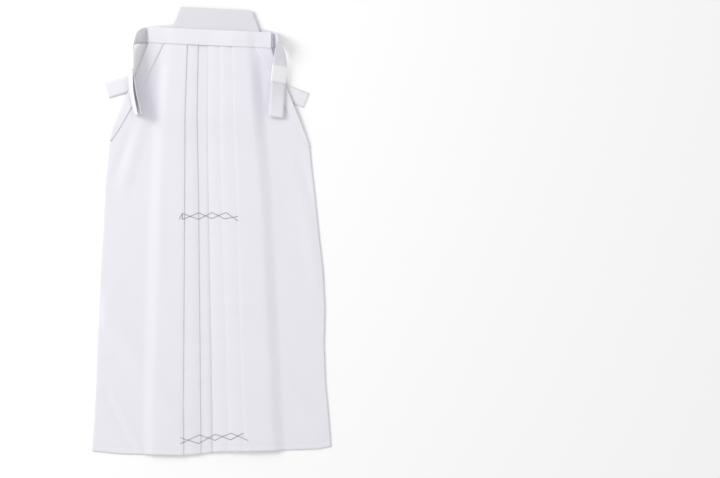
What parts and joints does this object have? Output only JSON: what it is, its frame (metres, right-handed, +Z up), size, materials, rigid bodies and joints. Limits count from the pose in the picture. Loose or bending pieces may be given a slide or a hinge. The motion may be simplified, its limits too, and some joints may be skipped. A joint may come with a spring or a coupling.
{
  "type": "hakama trousers",
  "caption": "Divided pleated trousers laid flat, front up, with a stiff waist board at the back, a waistband, folded ties and paper bands.",
  "frame": {"origin": "on the surface that the garment lies on, under the middle of its box", "axes": "+Z up off the surface, +Y from the hem to the waist, +X to the viewer's right, the wearer's left"},
  "size_m": [0.556, 1.044, 0.0453],
  "materials": {
    "cloth": "matte",
    "band_cloth": "matte",
    "paper": "matte"
  },
  "bodies": {
    "root": {"front_right": "cloth", "front_left": "cloth", "back_right": "cloth", "back_left": "cloth", "gusset_right": "cloth", "gusset_left": "cloth", "waistband": "band_cloth", "waist_board": "band_cloth", "front_tie_left": "band_cloth", "front_tie_right": "band_cloth", "back_tie_right": "band_cloth", "back_tie_left": "band_cloth", "paper_band_right": "paper", "paper_band_left": "paper", "paper_band_back": "paper"}
  },
  "joints": []
}
